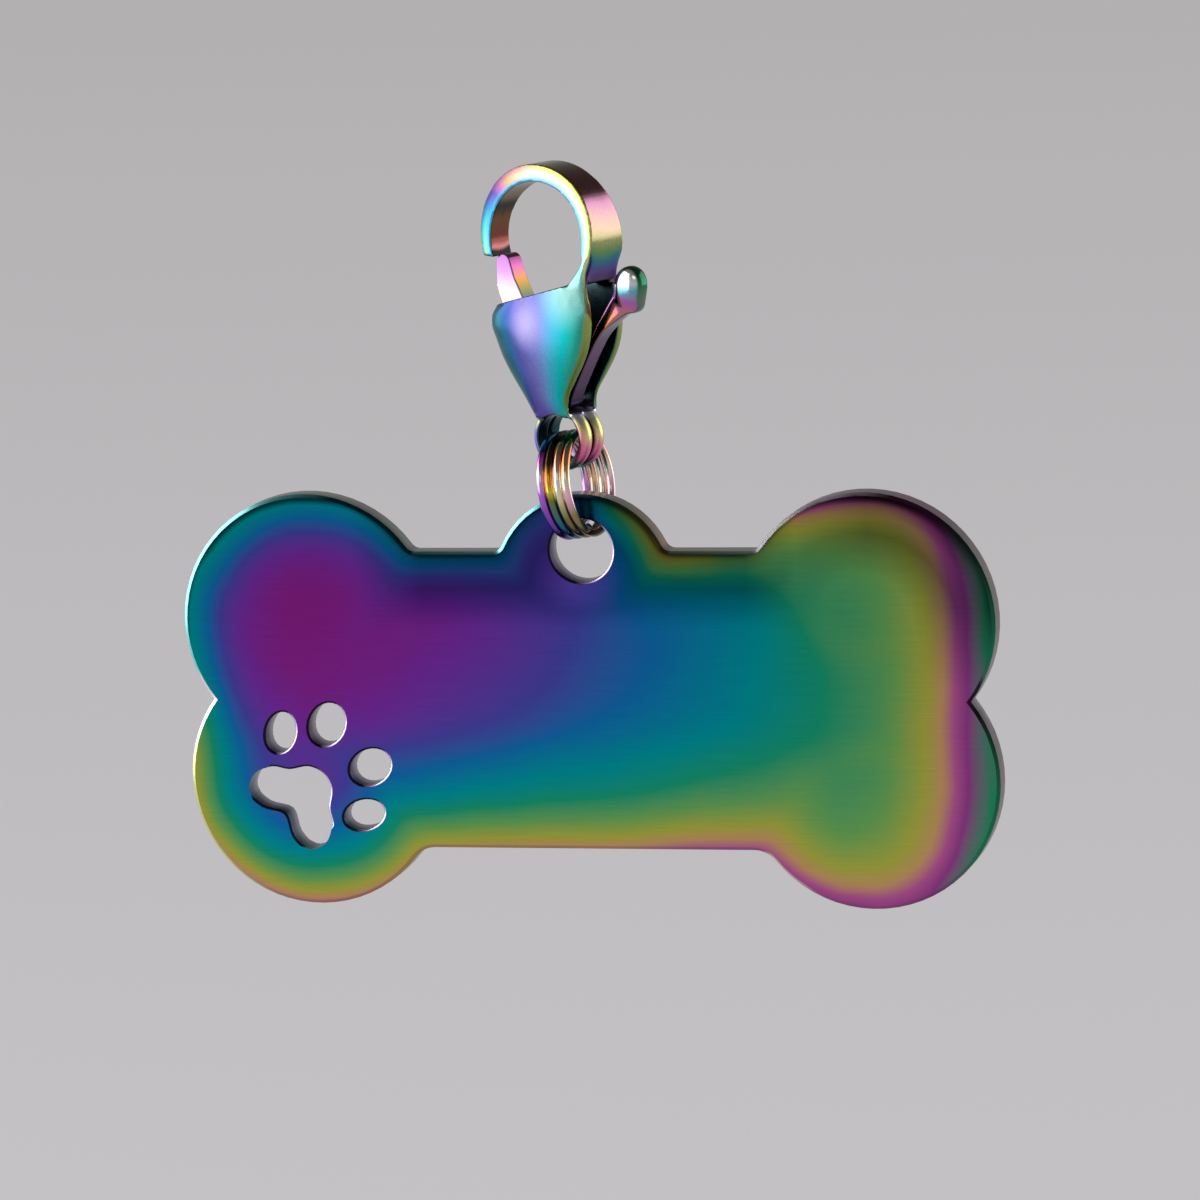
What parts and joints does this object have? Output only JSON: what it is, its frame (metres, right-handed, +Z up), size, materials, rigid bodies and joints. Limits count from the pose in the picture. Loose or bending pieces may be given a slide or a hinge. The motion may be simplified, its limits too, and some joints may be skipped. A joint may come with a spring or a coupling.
{
  "type": "pet id tag",
  "caption": "Bone-shaped flat steel pet tag with a lug hole and a paw cut-out, hung by small split rings from a lobster clasp, in a rainbow finish.",
  "frame": {"origin": "crown of the hook's inner curve, midway through the hook's depth, where a collar's ring bears", "axes": "+Z up as the tag hangs, the plate's length along X, the plate's front face towards -Y"},
  "size_m": [0.04, 0.0054, 0.0358],
  "materials": {
    "plate_finish": "finely brushed, rainbow coating",
    "clasp_finish": "polished, rainbow coating",
    "ring_finish": "polished, rainbow coating",
    "spring_steel": "bare drawn wire"
  },
  "bodies": {
    "clasp": {"clasp_front_shell": "clasp_finish", "clasp_back_shell": "clasp_finish", "pivot_pin": "clasp_finish", "lever_spring": "spring_steel"},
    "lever": {"clasp_lever": "clasp_finish"},
    "left_ring": {"split_ring_left": "ring_finish"},
    "right_ring": {"split_ring_right": "ring_finish"},
    "tag": {"tag_plate": "plate_finish"}
  },
  "joints": [
    {"name": "lever_pivot", "type": "hinge", "parent": "clasp", "child": "lever", "pos_m": [0.00079, -0.00032, -0.01045], "axis": [0.3746, 0.9272, 0], "range_deg": [0, 25], "stiffness_Nm_per_rad": 0.006, "springref_deg": -20.05, "deforming": ["lever_spring"]},
    {"name": "left_ring_swing", "type": "hinge", "parent": "clasp", "child": "left_ring", "pos_m": [0.00071, -0.00029, -0.01366], "axis": [0.9721, -0.189, 0.1392], "range_deg": [-45, 45]},
    {"name": "right_ring_swing", "type": "hinge", "parent": "clasp", "child": "right_ring", "pos_m": [0.00071, -0.00029, -0.01366], "axis": [0.9721, -0.189, 0.1392], "range_deg": [-45, 45]},
    {"name": "tag_swing", "type": "hinge", "parent": "left_ring", "child": "tag", "pos_m": [0.00126, -0.00045, -0.01766], "axis": [0, 1, 0], "range_deg": [-50, 50]}
  ],
  "couplings": [
    {"joint": "right_ring_swing", "follows": "left_ring_swing", "ratio": 1}
  ]
}
